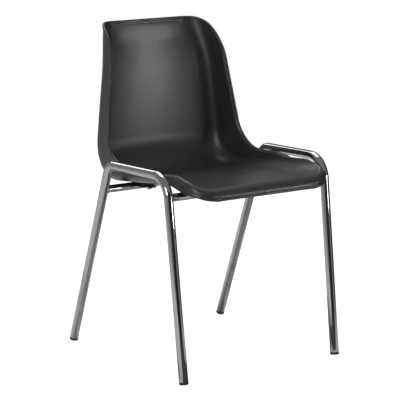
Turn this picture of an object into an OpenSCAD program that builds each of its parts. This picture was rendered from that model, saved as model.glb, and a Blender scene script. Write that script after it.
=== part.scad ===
// Stacking shell chair: a one-piece moulded shell on a frame of bent and welded steel tube.
// +Z is up, the sitter faces -Y, and the origin lies on the floor under the middle of the chair.
// A path is a list of [y, z] points. The shell is a sheet: rows of points run across it,
// one row after another from the front edge over the pan and up to the top of the back.

/* [Shell, along its middle] */
// Height of the pan at its front edge, middle of the wall
seat_h = 452.5; // [420:0.5:480]
// Front edge of the shell, ahead of the middle between the feet
seat_front = 261.3; // [240:1:290]
// Where the pan starts to fall towards the back, behind the front edge
pan_turn = 142; // [120:1:170]
// Fall of the pan from the front edge to that place
pan_turn_drop = 6.5; // [3:0.5:12]
// Distance from the front edge to where the lines of the pan and the back would cross
heel_reach = 473.3; // [440:1:500]
// Fall of the pan from the front edge to that crossing
heel_drop = 42.5; // [30:0.5:50]
// Radius where the pan turns up into the back
heel_r = 88; // [60:1:110]
// Height of the bend in the back, above the pan's front edge
back_bend_h = 237.5; // [200:0.5:260]
// Lean of the back from the crossing to that bend
back_bend_lean = 11; // [5:0.5:20]
// Radius of the bend in the back
back_bend_r = 450; // [350:10:600]
// Height of the top of the back above the pan's front edge
back_h = 336.5; // [320:0.5:370]
// Lean of the back from its bend to the top
back_top_lean = 21; // [10:0.5:30]
// Wall of the shell
wall = 4.5; // [3.5:0.1:5.5]

/* [Shell, across] */
// Half width at the front, middle of the wall
half_front = 201; // [185:0.5:215]
// Half width at the heel, middle of the wall
half_heel = 205; // [190:0.5:220]
// Half width of the back at its bend, middle of the wall
half_back = 167.5; // [150:0.5:180]
// Narrowing of each side of the back for each millimetre of height
back_taper = 0.14; // [0.12:0.005:0.17]
// Plan radius of the front corners
front_corner_r = 60; // [50:1:75]
// Radius of the two top corners of the back, along the sheet
top_corner_r = 83; // [65:1:95]
// Steepest slope of the sides, in degrees
side_turn = 84; // [78:1:86]

/* [Shell, side crest] */
// Rise of the crest over the pan at the front edge
crest_front_rise = 5.5; // [2:0.5:8]
// Distance of the highest place of the seat's side from the front edge
crest_peak_reach = 94; // [80:1:120]
// Height of that place above the pan's front edge
crest_peak_h = 24.5; // [20:0.5:30]
// Rounding of the crest there
crest_peak_r = 90; // [70:1:110]
// Distance from the front edge to where the side crest turns up into the wing
crest_heel_reach = 377; // [360:1:390]
// Height of the crest at that turn above the pan's front edge
crest_heel_h = 10.5; // [6:0.5:16]
// Rounding of that turn
crest_heel_r = 91; // [70:1:110]
// Distance of the wing's bend from the front edge
wing_reach = 410; // [400:1:420]
// Distance of the wing's top from the front edge
wing_top_reach = 423; // [415:1:435]

/* [Shell, rim] */
// Depth to which the front and its corners are turned down
apron = 19.4; // [15:0.1:24]
// Depth of the roll, seen from above, along the front
apron_roll = 20; // [14:0.5:26]
// Depth of the roll along the sides of the apron
side_roll = 8; // [6:0.5:10]
// Radius of the inside turn along the ridge, above the roll
riser_r = 3; // [2.8:0.1:5]
// Radius of the bead that ends the rim
bead_r = 4; // [3.4:0.1:4.4]
// Distance from the front edge to where the apron has full depth along the sides
apron_full = 82; // [70:1:100]
// Length over which the apron fades out behind that place
apron_fade = 160; // [120:1:180]

/* [Tube frame] */
// Outside diameter of the leg and rail tube
tube_d = 22; // [20:0.5:25.5]
// Wall of all tubes
tube_wall = 1.5; // [1.2:0.1:2]
// Outside diameter of the two cross tubes
cross_d = 19; // [16:0.5:20]
// Distance along the floor between the front and rear feet, at the tube's middle
foot_spread = 483.8; // [460:0.1:510]
// Spread of each front leg from its top corner down to the floor, towards the middle
leg_tuck = 4.9; // [0:0.1:12]
// How much wider each rail stands at its rear corner than at its front one
rail_splay = 1; // [0:0.1:4]
// Free gap between the widest place of the shell's rim and the rail
rail_gap = 9.8; // [8:0.1:14]
// Corner of the front leg and the rail, behind the front feet
rail_front_reach = 60.5; // [50:0.5:70]
// Height of that corner above the pan's front edge
rail_front_h = 28.5; // [24:0.5:34]
// Corner of the rail and the rear leg, ahead of the rear feet
rail_rear_reach = 180.3; // [165:0.1:195]
// Height of that corner above the pan's front edge
rail_rear_h = 22; // [18:0.5:28]
// Bend radius of the front corner, to the tube's middle
front_bend_r = 56; // [48:1:62]
// Bend radius of the rear corner, to the tube's middle
rear_bend_r = 33; // [28:1:42]
// Free height between the front cross tube and the pan
front_cross_gap = 5; // [3:0.1:8]
// Free height between the rear cross tube and the pan
rear_cross_gap = 2.2; // [2:0.1:6]

/* [Fixing] */
// Distance of each fixing from the chair's middle plane
fixing_x = 120; // [90:1:125]
// Distance of each screw from the side of its cross tube
screw_reach = 20; // [15:0.5:24]
// Width of a fixing plate
plate_w = 36; // [28:1:40]
// Thickness of a fixing plate
plate_t = 3; // [2:0.5:4]
// Diameter of the moulded bosses under the pan
boss_d = 19; // [16:0.5:24]
// Diameter of the screws
screw_d = 6; // [5:0.5:6]
// Length of a screw below its head
screw_l = 12; // [11:0.5:14]
// Diameter of a screw's head
head_d = 12; // [11:0.5:13]
// Height of a screw's head
head_h = 3.6; // [3:0.1:4.5]
// Width across the flats of the socket in the head
socket_w = 4; // [3:0.5:5]
// Diameter of the washers
washer_d = 14; // [13:0.5:18]
// Thickness of the washers
washer_t = 1.6; // [1:0.1:2]
// Diameter of the threaded inserts
insert_d = 9; // [8:0.5:10]
// Length of the threaded inserts
insert_l = 8; // [6:0.5:9]

/* [Glides] */
// Thickness of a glide's flange
flange_t = 3; // [2:0.5:4]
// Length of a glide's plug inside the tube
plug_l = 20; // [14:1:30]
// Depth of the flat on which a glide stands
glide_flat = 1; // [0.6:0.1:1.2]

/* [Hidden] */
$fn = 48;
// Radial play of a screw in its insert, of a plug in its tube and of a screw in its plate and washer
thread_play = 0.05;
plug_play = 0.15;
hole_play = 0.25;
// How much a bend's wall thins on each face, and how far the straights reach into the bends
bend_draw = 0.1;
bend_lap = 0.8;
// How far a boss reaches into the wall that carries it, and how far its bore passes the insert
boss_root = 1.5;
bore_spare = 1;
// How far a cutting body passes the face it cuts
pass = 1;
// A screw head's outline from its seat down, and its socket's depth, as shares of its size
HEAD_OUTLINE = [[0, 0], [0.5, 0], [0.5, 0.45], [0.42, 0.85], [0.3, 1], [0, 1]];
socket_share = 0.6;
// Depth of the grooves between a glide plug's ribs
rib_depth = 1.5;

tube_r = tube_d / 2;
cross_r = cross_d / 2;

// The bead's centre lies just past the rim's edge, so that the bead's circle meets both wall faces
bead_out = sqrt(bead_r * bead_r - wall * wall / 4);

// Rounding of the bends in the pan and the wing, and the wing bend's height above that of the back
pan_bend_r = 400;
wing_bend_r = 400;
wing_bend_rise = 10;

// Middle line of the shell and the line of its side crest: y from the shell's front edge, z, rounding
wing_bend_z = seat_h + back_bend_h + wing_bend_rise;
SPINE = [
    [0, seat_h, 0],
    [pan_turn, seat_h - pan_turn_drop, pan_bend_r],
    [heel_reach, seat_h - heel_drop, heel_r],
    [heel_reach + back_bend_lean, seat_h + back_bend_h, back_bend_r],
    [heel_reach + back_bend_lean + back_top_lean, seat_h + back_h, 0]
];
CREST = [
    [0, seat_h + crest_front_rise, 0],
    [crest_peak_reach, seat_h + crest_peak_h, crest_peak_r],
    [crest_heel_reach, seat_h + crest_heel_h, crest_heel_r],
    [wing_reach, wing_bend_z, wing_bend_r],
    [wing_top_reach, seat_h + back_h, 0]
];
// Section radius between the pan or back and the side, at these shares of the crest's length
SIDE_R = [[0, 91], [0.12, 60], [0.32, 46], [0.5, 44], [0.7, 42], [1, 57]];
// Distances from the front edge between which the seat widens
seat_widens_from = 110;
seat_widens_to = 282;
// How much of the front corners' rounding the whole section follows
corner_draw = 0.5;
// Where the rows of the heel start on the middle line and the crest, ahead of those lines' corners
heel_ahead = [106, 70];
// Where they end on the two lines, above the pan's front edge
heel_above = [52, 87];
// The rows of the top corners start so much of their radius below the top
top_rows_share = 0.7;
// How often the rows' places are averaged with their neighbours
row_easing = 3;
// Least length of the columns at the ridge
ridge_w = 4;

// Rows in each stretch of the shell: front corner, seat, heel, back, top corner
ROWS = [8, 6, 8, 6, 8];
// Columns in each part of a half section: flat, side, ridge, rim
COLUMNS = [3, 7, 2, 4];
ARC_STEPS = 12;
BEAD_ANGLES = [120, 60, 0, -60, -120];
halving_steps = 24;

function unit(v) = v / norm(v);

// Points of one rounded corner between its neighbours
function corner_arc(before, at, after, r) =
    let (a = unit(before - at), b = unit(after - at), half = acos(a * b) / 2)
    let (centre = at + unit(a + b) * r / sin(half))
    let (from = at + a * r / tan(half) - centre, to = at + b * r / tan(half) - centre)
    let (start = atan2(from.y, from.x), turn = atan2(to.y, to.x) - start)
    let (sweep = turn > 180 ? turn - 360 : turn < -180 ? turn + 360 : turn)
    [for (i = [0:ARC_STEPS])
        let (w = start + sweep * i / ARC_STEPS) centre + r * [cos(w), sin(w)]];

function flat_point(c) = [c.x, c.y];

function rounded_line(c) = [
    flat_point(c[0]),
    for (i = [1:len(c) - 2])
        each corner_arc(flat_point(c[i - 1]), flat_point(c[i]), flat_point(c[i + 1]), c[i].z),
    flat_point(c[len(c) - 1])
];

// A path as two tables over its length: length to y and length to z
function tables(p) =
    let (l = [for (i = 0, s = 0; i < len(p); i = i + 1, s = s + (i < len(p) ? norm(p[i] - p[i - 1]) : 0)) s])
    [[for (i = [0:len(p) - 1]) [l[i], p[i].x]], [for (i = [0:len(p) - 1]) [l[i], p[i].y]]];

function along(t, s) = [lookup(s, t[0]), lookup(s, t[1])];
function last(v) = v[len(v) - 1];
function path_length(t) = last(t[0])[0];

// Length at which a table passes a value, on the first or the last crossing
function crossings(table, value) = [
    for (i = [0:len(table) - 2])
        let (a = table[i], b = table[i + 1])
        if ((a[1] - value) * (b[1] - value) <= 0 && a[1] != b[1])
            a[0] + (b[0] - a[0]) * (value - a[1]) / (b[1] - a[1])
];

function eased(v, times) = times == 0 ? v : eased(
    [for (i = [0:len(v) - 1])
        i == 0 || i == len(v) - 1 ? v[i] : (v[i - 1] + 2 * v[i] + v[i + 1]) / 4],
    times - 1);

spine = tables(rounded_line(SPINE));
crest = tables(rounded_line(CREST));
crest_l = path_length(crest);

top_rows_z = seat_h + back_h - top_rows_share * top_corner_r;

// Matching places on the middle line and on the crest, as lengths from the front
STOPS = [
    [0, 0],
    [crossings(spine[0], front_corner_r)[0], crossings(crest[0], front_corner_r)[0]],
    [crossings(spine[0], heel_reach - heel_ahead[0])[0],
        crossings(crest[0], crest_heel_reach - heel_ahead[1])[0]],
    [last(crossings(spine[1], seat_h + heel_above[0])), last(crossings(crest[1], seat_h + heel_above[1]))],
    [last(crossings(spine[1], top_rows_z)), last(crossings(crest[1], top_rows_z))],
    [path_length(spine), crest_l]
];

// Rows lie closer together towards the front edge and towards the top edge
function row_share(stretch, t) = stretch == 0 ? 1 - cos(90 * t) : stretch == len(ROWS) - 1 ? sin(90 * t) : t;
ROW_STOPS = eased([
    for (k = [0:len(ROWS) - 1])
        for (i = [0:ROWS[k] - (k == len(ROWS) - 1 ? 0 : 1)])
            STOPS[k] + (STOPS[k + 1] - STOPS[k]) * row_share(k, i / ROWS[k])
], row_easing);

// How far a rounded plan corner draws the outline in, at distance d before its end
function corner_inset(d, r) = d >= r ? 0 : r - sqrt(max(r * r - (r - d) * (r - d), 0));

// Distance to the outline from a point that is side from the side line and end from the end line,
// and how much that nearest outline is the end line rather than the side line
function rim_distance(side, end, r) = side < r && end < r ? r - norm([r - side, r - end]) : min(side, end);
function end_share(side, end, r) =
    side < r && end < r ? atan2(max(r - end, 0.001), max(r - side, 0.001)) / 90 : end < side ? 1 : 0;

// A smooth step from 0 to 1
function smooth(t) = let (u = min(max(t, 0), 1)) u * u * (3 - 2 * u);

// A half section runs flat, up an arc of radius r to the slope t and on along a straight. Where the
// apron is (full = 1) it turns back to level before its last stretch; elsewhere that stretch keeps
// more of the slope: e = t (1 - full). This is how far the section rises up to the slope t.
function rise_at(t, r, full) =
    let (e = t * (1 - full)) r * (1 - cos(t)) + riser_r * (cos(e) - cos(t)) + side_roll * sin(e);

// The slope at which a section that rises by h ends its arc, found by halving the range
function side_slope(h, r, full, low = 0, high = side_turn, steps = halving_steps) =
    let (middle = (low + high) / 2, over = rise_at(middle, r, full) > h)
    steps == 0 ? middle : side_slope(h, r, full, over ? low : middle, over ? middle : high, steps - 1);

// A section as [r, t, e, length of its flat, arc, straight and ridge turn, whole length]
function section(h, w, r, full) =
    let (t = side_slope(h, r, full), e = t * (1 - full))
    let (straight = max(h - rise_at(t, r, full), 0) / sin(side_turn))
    let (side = r * sin(t) + straight * cos(side_turn) + riser_r * (sin(t) - sin(e)) + side_roll * cos(e))
    let (arc = r * t * PI / 180, turn = riser_r * (t - e) * PI / 180)
    [r, t, e, w - side, arc, straight, turn, w - side + arc + straight + turn + side_roll];

// Distance across, rise and slope of a section at the length s from the middle
function section_at(p, s) =
    let (r = p[0], t = p[1], e = p[2], after_arc = s - p[3] - p[4], after_straight = after_arc - p[5])
    let (a = min(max(s - p[3], 0), p[4]) / r * 180 / PI)
    let (b = min(max(after_arc, 0), p[5]))
    let (c = t - min(max(after_straight, 0), p[6]) / riser_r * 180 / PI)
    let (d = max(after_straight - p[6], 0))
    [min(s, p[3]) + r * sin(a) + b * cos(t) + riser_r * (sin(t) - sin(c)) + d * cos(e),
        r * (1 - cos(a)) + b * sin(t) + riser_r * (cos(c) - cos(t)) + d * sin(e),
        after_arc < 0 ? a : c];

// The length at which a section passes the distance edge from the middle, found by halving
function length_at(p, edge, low, high, steps = halving_steps) =
    let (middle = (low + high) / 2, over = section_at(p, middle)[0] > edge)
    steps == 0 ? middle : length_at(p, edge, over ? low : middle, over ? middle : high, steps - 1);

// Lengths of a row's columns. Where a rounded corner cuts the section off at the length cut,
// the ridge and the rim move in with it and the flat and the side are drawn together.
function column_lengths(p, cut) =
    let (whole = p[7], spare = max(ridge_w - p[6], 0) / 2)
    let (ridge = whole - side_roll - p[6] - spare, rim = whole - side_roll + spare)
    let (start = cut - (whole - ridge), flat = p[3] * start / ridge)
    concat(
        [for (i = [0:COLUMNS[0] - 1]) flat * i / COLUMNS[0]],
        [for (i = [0:COLUMNS[1] - 1]) flat + (start - flat) * i / COLUMNS[1]],
        [for (i = [0:COLUMNS[2] - 1]) start + (rim - ridge) * i / COLUMNS[2]],
        [for (i = [0:COLUMNS[3]]) cut - (whole - rim) * (1 - sin(90 * i / COLUMNS[3]))]);

// How far the rim is rolled over at a place, and the parts of its normal: along the plain
// surface's normal, towards the side and towards the front
function rolled(across, w, e, end, r_corner, full) =
    let (d = rim_distance(w - across, end, r_corner), k = end_share(w - across, end, r_corner))
    let (reach = side_roll * cos(e) * (1 - k) + apron_roll * k, most = sin(90 * full))
    let (q = most * min(max(1 - max(d, 0) / reach, 0), 1), level = sqrt(1 - q * q))
    let (out = q * most * apron / reach)
    [apron * (1 - level), level, out * cos(90 * k), -out * sin(90 * k)];

// One row: middle line's point, unit rise towards the crest, section, columns' lengths, rolls
function sheet_row(stop) =
    let (s = along(spine, stop[0]), c = along(crest, stop[1]), h = norm(c - s), share = stop[1] / crest_l)
    let (from_front = c.x, at_front = share < 0.5, end = at_front ? from_front : crest_l - stop[1])
    let (r_corner = at_front ? front_corner_r : top_corner_r, inset = corner_inset(end, r_corner))
    let (seat_w = lookup(from_front, [[seat_widens_from, half_front], [seat_widens_to, half_heel]]))
    let (w = min(seat_w, half_back + back_taper * (wing_bend_z - c.y)))
    let (full = smooth((apron_full + apron_fade - from_front) / apron_fade))
    let (p = section(h, w - (at_front ? corner_draw * inset : 0), lookup(share, SIDE_R), full))
    let (lengths = column_lengths(p, at_front ? length_at(p, w - inset, 0, p[7]) : p[7] - inset))
    [s, (c - s) / h, p, lengths,
        [for (l = lengths) rolled(section_at(p, l)[0], w, p[2], end, r_corner, full)]];

// The rows of the right half
SECTIONS = [for (stop = ROW_STOPS) sheet_row(stop)];
row_n = len(SECTIONS);

// A place in space of the row i from its distance across and its rise
function placed(i, across, rise) =
    let (s = SECTIONS[i][0], up = SECTIONS[i][1])
    [across, s.x + up.x * rise, s.y + up.y * rise];

// The place on row i at a share of its section's whole length
function row_point(i, share) =
    let (at = section_at(SECTIONS[i][2], share * SECTIONS[i][2][7])) placed(i, at[0], at[1]);

// The middle of the wall and its normals, right half
HALF_SHEET = [
    for (i = [0:row_n - 1])
        [for (j = [0:len(SECTIONS[i][3]) - 1])
            let (at = section_at(SECTIONS[i][2], SECTIONS[i][3][j]))
            placed(i, at[0], at[1] - SECTIONS[i][4][j][0])]
];
HALF_NORMALS = [
    for (i = [0:row_n - 1])
        let (p = SECTIONS[i][2], up = SECTIONS[i][1])
        [for (j = [0:len(SECTIONS[i][3]) - 1])
            let (s = SECTIONS[i][3][j], share = s / p[7])
            let (slope = section_at(p, s)[2], roll = SECTIONS[i][4][j])
            let (across = [cos(slope), up.x * sin(slope), up.y * sin(slope)])
            let (on = row_point(min(i + 1, row_n - 1), share) - row_point(max(i - 1, 0), share))
            let (n = unit(cross(across, on)))
            unit(n * roll[1] + across * roll[2] + cross(n, across) * roll[3])]
];

// A half grid with its mirror image before it
function both_sides(half) = [
    for (row = half)
        concat([for (j = [len(row) - 1:-1:1]) [-row[j].x, row[j].y, row[j].z]], row)
];
SHEET = both_sides(HALF_SHEET);
NORMALS = both_sides(HALF_NORMALS);
col_n = len(SHEET[0]);

// Index pairs round the sheet's edge, anticlockwise from above
EDGE = concat(
    [for (j = [0:col_n - 1]) [0, j]],
    [for (i = [1:row_n - 1]) [i, col_n - 1]],
    [for (j = [col_n - 2:-1:0]) [row_n - 1, j]],
    [for (i = [row_n - 2:-1:1]) [i, 0]]);
edge_n = len(EDGE);

function on_edge(grid, k) = grid[EDGE[k % edge_n][0]][EDGE[k % edge_n][1]];

// Rings of the bead round the edge, in the plane of the sheet's outward direction and its normal
BEAD = [
    for (k = [0:edge_n - 1])
        let (n = on_edge(NORMALS, k), along_edge = on_edge(SHEET, k + 1) - on_edge(SHEET, k + edge_n - 1))
        let (out = unit(cross(along_edge, n)))
        for (a = BEAD_ANGLES)
            on_edge(SHEET, k) + out * (bead_out + bead_r * cos(a)) + n * bead_r * sin(a)
];

// The chair's whole depth is centred on the origin, so the feet stand a little behind it
rear_lean = atan2(rail_rear_reach, seat_h + rail_rear_h);
rear_foot_rise = tube_r * sin(rear_lean) - glide_flat;
rear_foot_end = foot_spread / 2 - rear_foot_rise * tan(rear_lean) + tube_r * cos(rear_lean);
shell_front = min([for (p = BEAD) p.y]);
shell_rear = max([for (p = BEAD) p.y]);
feet_mid_y = (seat_front - shell_front - max(rear_foot_end, shell_rear - seat_front)) / 2;
front_y = feet_mid_y - seat_front;

// Corners of the right hoop's middle line: front foot, front top, rear top and, in their plane, rear foot
hoop_x = half_heel + bead_r + rail_gap + tube_r;
front_foot_y = feet_mid_y - foot_spread / 2;
rear_foot_y = feet_mid_y + foot_spread / 2;
FRONT_FOOT = [hoop_x - leg_tuck, front_foot_y, 0];
FRONT_TOP = [hoop_x, front_foot_y + rail_front_reach, seat_h + rail_front_h];
REAR_TOP = [hoop_x + rail_splay, rear_foot_y - rail_rear_reach, seat_h + rail_rear_h];
HOOP_NORMAL = unit(cross(FRONT_TOP - FRONT_FOOT, REAR_TOP - FRONT_FOOT));
REAR_FOOT = [FRONT_FOOT.x - HOOP_NORMAL.y * foot_spread / HOOP_NORMAL.x, rear_foot_y, 0];
HOOP = [FRONT_FOOT, FRONT_TOP, REAR_TOP, REAR_FOOT];

function flatten(grid) = [for (row = grid) each row];
function quad(a, b, c, d) = [[a, b, c], [a, c, d]];

module shell_sheet() {
    sheet_n = row_n * col_n;
    ring_n = len(BEAD_ANGLES);
    upper = flatten(SHEET) + flatten(NORMALS) * wall / 2;
    lower = flatten(SHEET) - flatten(NORMALS) * wall / 2;
    faces = concat(
        [for (i = [0:row_n - 2]) for (j = [0:col_n - 2])
            let (a = i * col_n + j) each quad(a, a + col_n, a + col_n + 1, a + 1)],
        [for (i = [0:row_n - 2]) for (j = [0:col_n - 2])
            let (a = sheet_n + i * col_n + j) each quad(a, a + 1, a + col_n + 1, a + col_n)],
        [for (k = [0:edge_n - 1])
            let (m = (k + 1) % edge_n, e = EDGE[k], f = EDGE[m])
            let (here = e[0] * col_n + e[1], next = f[0] * col_n + f[1])
            let (a = concat([here], [for (q = [0:ring_n - 1]) 2 * sheet_n + k * ring_n + q], [sheet_n + here]))
            let (b = concat([next], [for (q = [0:ring_n - 1]) 2 * sheet_n + m * ring_n + q], [sheet_n + next]))
            for (q = [0:ring_n]) each quad(a[q], b[q], b[q + 1], a[q + 1])]);
    translate([0, front_y, 0])
        polyhedron(points = concat(upper, lower, BEAD), faces = faces, convexity = 8);
}

// Height of the pan's underside in the middle plane
function underside(y) = lookup(crossings(spine[0], y - front_y)[0], spine[1]) - wall / 2;

// Middle of each cross tube where it meets the leg, a gap below the pan, found in a few steps
function on_leg(foot, top, z) = foot + (top - foot) * z / top.z;
function cross_place(foot, top, gap, z = seat_h, steps = 6) =
    let (p = on_leg(foot, top, z))
    steps == 0 ? p : cross_place(foot, top, gap, underside(p.y) - gap - cross_r, steps - 1);
FRONT_CROSS = cross_place(HOOP[0], HOOP[1], front_cross_gap);
REAR_CROSS = cross_place(HOOP[3], HOOP[2], rear_cross_gap);

// Right-hand places of the screws: x, y and the middle of the plate
FRONT_FIX = [fixing_x, FRONT_CROSS.y + cross_r + screw_reach, FRONT_CROSS.z];
REAR_FIX = [fixing_x, REAR_CROSS.y - cross_r - screw_reach, REAR_CROSS.z];

module seat_shell() {
    color("#2b2b2d")
    difference() {
        union() {
            shell_sheet();
            for (fix = [FRONT_FIX, REAR_FIX], side = [-1, 1])
                translate([side * fix.x, fix.y, fix.z + plate_t / 2])
                    cylinder(d = boss_d, h = underside(fix.y) + boss_root - fix.z - plate_t / 2);
        }
        for (fix = [FRONT_FIX, REAR_FIX], side = [-1, 1])
            translate([side * fix.x, fix.y, fix.z + plate_t / 2 - pass])
                cylinder(d = insert_d, h = insert_l + bore_spare + pass);
    }
}

// A straight round bar from a to b
module bar(a, b, r) {
    v = b - a;
    translate(a)
        rotate([0, acos(v.z / norm(v)), atan2(v.y, v.x)])
            cylinder(r = r, h = norm(v));
}

// Places children by three unit axes and an origin
module in_axes(ex, ey, ez, origin) {
    multmatrix([
        [ex.x, ey.x, ez.x, origin.x],
        [ex.y, ey.y, ez.y, origin.y],
        [ex.z, ey.z, ez.z, origin.z],
        [0, 0, 0, 1]
    ])
        children();
}

// A straight bar of the hoop, its facets in line with those of the bends
module hoop_straight(a, b, r) {
    ez = unit(b - a);
    in_axes(cross(HOOP_NORMAL, ez), HOOP_NORMAL, ez, a)
        cylinder(r = r, h = norm(b - a));
}

// Distance from a corner to where its bend starts
function bend_cut(a, at, b, r) = r / tan(acos(unit(a - at) * unit(b - at)) / 2);

// The bend of a round bar at a corner, as part of a torus about the bend's centre
module bend(a, at, b, bend_r, r) {
    from = unit(a - at);
    to = unit(b - at);
    half = acos(from * to) / 2;
    centre = at + unit(from + to) * bend_r / sin(half);
    in_axes(cross(-from, HOOP_NORMAL), -from, HOOP_NORMAL, centre)
        rotate_extrude(angle = 180 - 2 * half)
            translate([bend_r, 0])
                circle(r = r);
}

// A point on a leg's middle line, at a distance along it from the floor
function leg_point(foot, top, s) = foot + unit(top - foot) * s;
function leg_end(foot, top) =
    let (u = unit(top - foot)) (tube_r * sqrt(1 - u.z * u.z) - glide_flat) / u.z;

// A bar of radius r along the whole hoop, bent_r in its bends, its ends drawn past the tube's by extra.
// Each straight reaches bend_lap into the bends, which are a hair thinner there, as bent tube is.
module hoop_bar(r, bent_r, extra) {
    cut_front = bend_cut(HOOP[0], HOOP[1], HOOP[2], front_bend_r) - bend_lap;
    cut_rear = bend_cut(HOOP[1], HOOP[2], HOOP[3], rear_bend_r) - bend_lap;
    front_start = leg_point(HOOP[0], HOOP[1], leg_end(HOOP[0], HOOP[1]) + flange_t - extra);
    rear_start = leg_point(HOOP[3], HOOP[2], leg_end(HOOP[3], HOOP[2]) + flange_t - extra);
    rail = unit(HOOP[2] - HOOP[1]);
    hoop_straight(front_start, HOOP[1] + unit(HOOP[0] - HOOP[1]) * cut_front, r);
    hoop_straight(HOOP[1] + rail * cut_front, HOOP[2] - rail * cut_rear, r);
    hoop_straight(HOOP[2] + unit(HOOP[3] - HOOP[2]) * cut_rear, rear_start, r);
    bend(HOOP[0], HOOP[1], HOOP[2], front_bend_r, bent_r);
    bend(HOOP[1], HOOP[2], HOOP[3], rear_bend_r, bent_r);
}
module hoop_outside() { hoop_bar(tube_r, tube_r - bend_draw, 0); }
module hoop_bore() { hoop_bar(tube_r - tube_wall, tube_r - tube_wall + bend_draw, pass); }

// The right hoop, or its mirror image on the left
module side_hoop(side) {
    color("silver")
    mirror([side < 0 ? 1 : 0, 0, 0])
        difference() {
            hoop_outside();
            hoop_bore();
        }
}
module left_side_hoop() { side_hoop(-1); }
module right_side_hoop() { side_hoop(1); }

// A cross tube whose ends are cut to the round of the two hoops
module cross_tube(at) {
    color("silver")
    difference() {
        bar([-at.x, at.y, at.z], at, cross_r);
        bar([-at.x - pass, at.y, at.z], at + [pass, 0, 0], cross_r - tube_wall);
        for (side = [0, 1])
            mirror([side, 0, 0])
                hoop_outside();
    }
}
module front_cross_tube() { cross_tube(FRONT_CROSS); }
module rear_cross_tube() { cross_tube(REAR_CROSS); }

// A tab with a round end, welded to the side of a cross tube; its screw lies at fix
module fixing_plate(fix, cross, side) {
    color("silver")
    difference() {
        translate([side * fix.x, fix.y, fix.z - plate_t / 2])
            linear_extrude(plate_t)
                difference() {
                    union() {
                        circle(d = plate_w);
                        translate([-plate_w / 2, min(cross.y - fix.y, 0)])
                            square([plate_w, abs(cross.y - fix.y)]);
                    }
                    circle(d = screw_d + 2 * hole_play);
                }
        bar([-cross.x, cross.y, cross.z], [cross.x, cross.y, cross.z], cross_r);
    }
}
module front_left_fixing_plate() { fixing_plate(FRONT_FIX, FRONT_CROSS, -1); }
module front_right_fixing_plate() { fixing_plate(FRONT_FIX, FRONT_CROSS, 1); }
module rear_left_fixing_plate() { fixing_plate(REAR_FIX, REAR_CROSS, -1); }
module rear_right_fixing_plate() { fixing_plate(REAR_FIX, REAR_CROSS, 1); }

// A screw driven upwards, with a round head that has a six-sided socket
module screw(fix, side) {
    color("dimgray")
    translate([side * fix.x, fix.y, fix.z - plate_t / 2 - washer_t])
        difference() {
            union() {
                cylinder(d = screw_d, h = screw_l);
                rotate_extrude()
                    polygon([for (p = HEAD_OUTLINE) [head_d * p.x, -head_h * p.y]]);
            }
            translate([0, 0, -head_h - pass])
                cylinder(d = socket_w / cos(30), h = head_h * socket_share + pass, $fn = 6);
        }
}
module front_left_screw() { screw(FRONT_FIX, -1); }
module front_right_screw() { screw(FRONT_FIX, 1); }
module rear_left_screw() { screw(REAR_FIX, -1); }
module rear_right_screw() { screw(REAR_FIX, 1); }

// A ring of given diameters and height, standing on z
module ring(at, side, z, outer_d, inner_d, h) {
    translate([side * at.x, at.y, z])
        difference() {
            cylinder(d = outer_d, h = h);
            translate([0, 0, -pass])
                cylinder(d = inner_d, h = h + 2 * pass);
        }
}
module washer(fix, side) {
    color("gainsboro")
    ring(fix, side, fix.z - plate_t / 2 - washer_t, washer_d, screw_d + 2 * hole_play, washer_t);
}
module front_left_washer() { washer(FRONT_FIX, -1); }
module front_right_washer() { washer(FRONT_FIX, 1); }
module rear_left_washer() { washer(REAR_FIX, -1); }
module rear_right_washer() { washer(REAR_FIX, 1); }

// A threaded insert, pressed into its boss from below
module threaded_insert(fix, side) {
    color("goldenrod")
    ring(fix, side, fix.z + plate_t / 2, insert_d, screw_d + 2 * thread_play, insert_l);
}
module front_left_threaded_insert() { threaded_insert(FRONT_FIX, -1); }
module front_right_threaded_insert() { threaded_insert(FRONT_FIX, 1); }
module rear_left_threaded_insert() { threaded_insert(REAR_FIX, -1); }
module rear_right_threaded_insert() { threaded_insert(REAR_FIX, 1); }

// A glide: a plug with two ribs in the tube's end, a flange as wide as the tube, and a flat on the floor
module glide(foot, top, side) {
    u = unit(top - foot);
    base = leg_point(foot, top, leg_end(foot, top));
    bore_r = tube_r - tube_wall;
    core_r = bore_r - rib_depth;
    rib_r = bore_r - plug_play;
    rib_w = plug_l / 8;
    color("#1c1c1c")
    mirror([side < 0 ? 1 : 0, 0, 0])
        difference() {
            translate(base)
                rotate([0, acos(u.z), atan2(u.y, u.x)])
                    rotate_extrude()
                        polygon(concat(
                            [[0, 0], [tube_r, 0], [tube_r, flange_t], [rib_r, flange_t]],
                            [for (k = [1:2]) each [
                                [rib_r, flange_t + (2 * k - 1) * plug_l / 4],
                                [core_r, flange_t + (2 * k - 1) * plug_l / 4 + rib_w / 2],
                                [core_r, flange_t + 2 * k * plug_l / 4 - rib_w],
                                [rib_r, flange_t + 2 * k * plug_l / 4 - rib_w / 2]]],
                            [[core_r, flange_t + plug_l], [0, flange_t + plug_l]]));
            translate(foot - [2 * tube_d, 2 * tube_d, tube_d])
                cube([4 * tube_d, 4 * tube_d, tube_d]);
        }
}
module front_left_glide() { glide(HOOP[0], HOOP[1], -1); }
module front_right_glide() { glide(HOOP[0], HOOP[1], 1); }
module rear_left_glide() { glide(HOOP[3], HOOP[2], -1); }
module rear_right_glide() { glide(HOOP[3], HOOP[2], 1); }

seat_shell();
left_side_hoop();
right_side_hoop();
front_cross_tube();
rear_cross_tube();
front_left_fixing_plate();
front_right_fixing_plate();
rear_left_fixing_plate();
rear_right_fixing_plate();
front_left_screw();
front_right_screw();
rear_left_screw();
rear_right_screw();
front_left_washer();
front_right_washer();
rear_left_washer();
rear_right_washer();
front_left_threaded_insert();
front_right_threaded_insert();
rear_left_threaded_insert();
rear_right_threaded_insert();
front_left_glide();
front_right_glide();
rear_left_glide();
rear_right_glide();
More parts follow.
